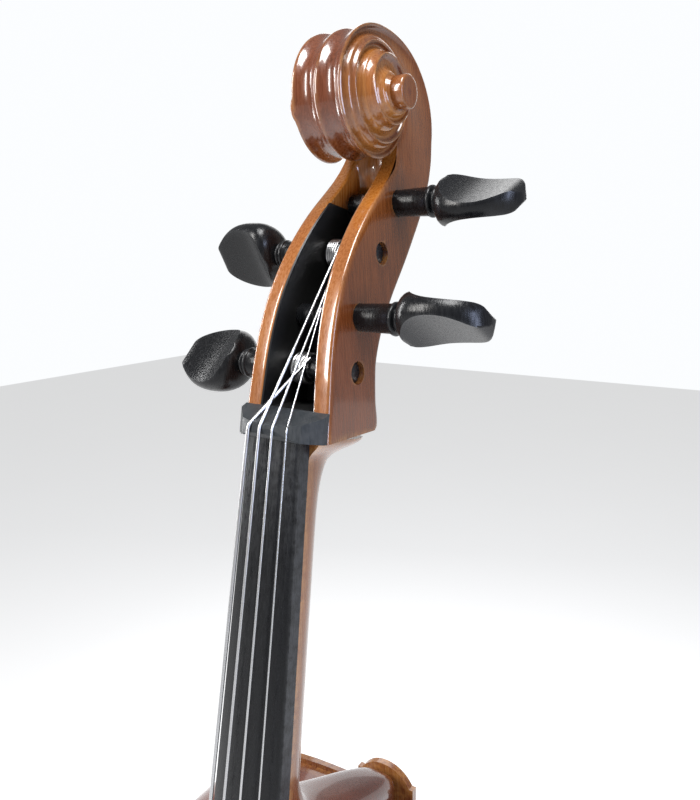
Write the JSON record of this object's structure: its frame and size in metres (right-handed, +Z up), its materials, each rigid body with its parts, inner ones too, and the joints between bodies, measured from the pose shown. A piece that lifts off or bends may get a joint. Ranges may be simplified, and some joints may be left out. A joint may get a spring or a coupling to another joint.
{
  "type": "cello",
  "caption": "Full-size cello with arched plates, carved scroll, friction pegs, bridge, tailpiece with fine tuners and a sliding endpin.",
  "frame": {"origin": "centre of the small flat under the endpin's rubber tip, with the endpin pushed in", "axes": "+Z up along the body and the endpin, +X to the treble side, +Y to the back of the body; the strings face -Y"},
  "size_m": [0.44, 0.2684, 1.2636],
  "materials": {
    "varnished_maple": "glossy red-brown varnish over maple",
    "varnished_spruce": "glossy amber varnish over spruce",
    "inner_wood": "bare wood inside the body",
    "purfling": "dark inlay",
    "ebony": "satin black ebony",
    "bridge_maple": "unvarnished maple",
    "wound_string": "fine flat-wound steel",
    "tail_cord": "nylon cord",
    "black_alloy": "satin black alloy",
    "steel": "polished steel",
    "rubber": "black rubber"
  },
  "bodies": {
    "instrument": {"rib_lower_bass": "varnished_maple", "rib_lower_treble": "varnished_maple", "rib_waist_bass": "varnished_maple", "rib_waist_treble": "varnished_maple", "rib_upper_bass": "varnished_maple", "rib_upper_treble": "varnished_maple", "neck_block": "inner_wood", "end_block": "inner_wood", "corner_blocks": "inner_wood", "linings_top": "inner_wood", "linings_back": "inner_wood", "bass_bar": "inner_wood", "sound_post": "inner_wood", "top_plate": "varnished_spruce", "back_plate": "varnished_maple", "neck_and_scroll": "varnished_maple", "purfling_top": "purfling", "purfling_back": "purfling", "fingerboard": "ebony", "nut": "ebony", "saddle": "ebony", "endpin_collar": "ebony", "bridge": "bridge_maple", "string_c": "wound_string", "string_g": "wound_string", "string_d": "wound_string", "string_a": "wound_string", "tailpiece": "black_alloy", "tailpiece_fret": "black_alloy", "tuner_pivot_rod": "steel", "tail_cord": "tail_cord"},
    "peg_c": {"peg_c": "ebony", "winding_c": "wound_string"},
    "peg_g": {"peg_g": "ebony", "winding_g": "wound_string"},
    "peg_d": {"peg_d": "ebony", "winding_d": "wound_string"},
    "peg_a": {"peg_a": "ebony", "winding_a": "wound_string"},
    "tuner_lever_c": {"tuner_lever_c": "black_alloy"},
    "tuner_lever_g": {"tuner_lever_g": "black_alloy"},
    "tuner_lever_d": {"tuner_lever_d": "black_alloy"},
    "tuner_lever_a": {"tuner_lever_a": "black_alloy"},
    "tuner_screw_c": {"tuner_screw_c": "steel"},
    "tuner_screw_g": {"tuner_screw_g": "steel"},
    "tuner_screw_d": {"tuner_screw_d": "steel"},
    "tuner_screw_a": {"tuner_screw_a": "steel"},
    "endpin": {"endpin_rod": "steel", "endpin_rubber": "rubber"},
    "endpin_thumbscrew": {"endpin_thumbscrew": "steel"}
  },
  "joints": [
    {"name": "peg_c_turn", "type": "hinge", "parent": "instrument", "child": "peg_c", "pos_m": [0, -0.00573, 1.09499], "axis": [-1, 0, 0], "continuous": true},
    {"name": "peg_g_turn", "type": "hinge", "parent": "instrument", "child": "peg_g", "pos_m": [0, 0.02318, 1.15204], "axis": [-1, 0, 0], "continuous": true},
    {"name": "peg_d_turn", "type": "hinge", "parent": "instrument", "child": "peg_d", "pos_m": [0, 0.04295, 1.17774], "axis": [1, 0, 0], "continuous": true},
    {"name": "peg_a_turn", "type": "hinge", "parent": "instrument", "child": "peg_a", "pos_m": [0, -0.00035, 1.12156], "axis": [1, 0, 0], "continuous": true},
    {"name": "tuner_screw_c_turn", "type": "hinge", "parent": "instrument", "child": "tuner_screw_c", "pos_m": [-0.02025, -0.13201, 0.23286], "axis": [0, -0.962, -0.2729], "range_deg": [-1080, 0]},
    {"name": "tuner_screw_g_turn", "type": "hinge", "parent": "instrument", "child": "tuner_screw_g", "pos_m": [-0.00675, -0.13201, 0.23286], "axis": [0, -0.962, -0.2729], "range_deg": [-1080, 0]},
    {"name": "tuner_screw_d_turn", "type": "hinge", "parent": "instrument", "child": "tuner_screw_d", "pos_m": [0.00675, -0.13201, 0.23286], "axis": [0, -0.962, -0.2729], "range_deg": [-1080, 0]},
    {"name": "tuner_screw_a_turn", "type": "hinge", "parent": "instrument", "child": "tuner_screw_a", "pos_m": [0.02025, -0.13201, 0.23286], "axis": [0, -0.962, -0.2729], "range_deg": [-1080, 0]},
    {"name": "tuner_lever_c_tilt", "type": "hinge", "parent": "instrument", "child": "tuner_lever_c", "pos_m": [-0.02025, -0.12688, 0.25511], "axis": [1, 0, 0], "range_deg": [-4, 0]},
    {"name": "tuner_lever_g_tilt", "type": "hinge", "parent": "instrument", "child": "tuner_lever_g", "pos_m": [-0.00675, -0.12688, 0.25511], "axis": [1, 0, 0], "range_deg": [-4, 0]},
    {"name": "tuner_lever_d_tilt", "type": "hinge", "parent": "instrument", "child": "tuner_lever_d", "pos_m": [0.00675, -0.12688, 0.25511], "axis": [1, 0, 0], "range_deg": [-4, 0]},
    {"name": "tuner_lever_a_tilt", "type": "hinge", "parent": "instrument", "child": "tuner_lever_a", "pos_m": [0.02025, -0.12688, 0.25511], "axis": [1, 0, 0], "range_deg": [-4, 0]},
    {"name": "endpin_slide", "type": "slide", "parent": "instrument", "child": "endpin", "axis": [0, 0, -1], "range_m": [0, 0.28]},
    {"name": "endpin_thumbscrew_turn", "type": "hinge", "parent": "instrument", "child": "endpin_thumbscrew", "pos_m": [0.02, 0, 0.035], "axis": [1, 0, 0], "continuous": true}
  ],
  "couplings": [
    {"joint": "tuner_lever_c_tilt", "follows": "tuner_screw_c_turn", "ratio": 0.0037037},
    {"joint": "tuner_lever_g_tilt", "follows": "tuner_screw_g_turn", "ratio": 0.0037037},
    {"joint": "tuner_lever_d_tilt", "follows": "tuner_screw_d_turn", "ratio": 0.0037037},
    {"joint": "tuner_lever_a_tilt", "follows": "tuner_screw_a_turn", "ratio": 0.0037037}
  ]
}
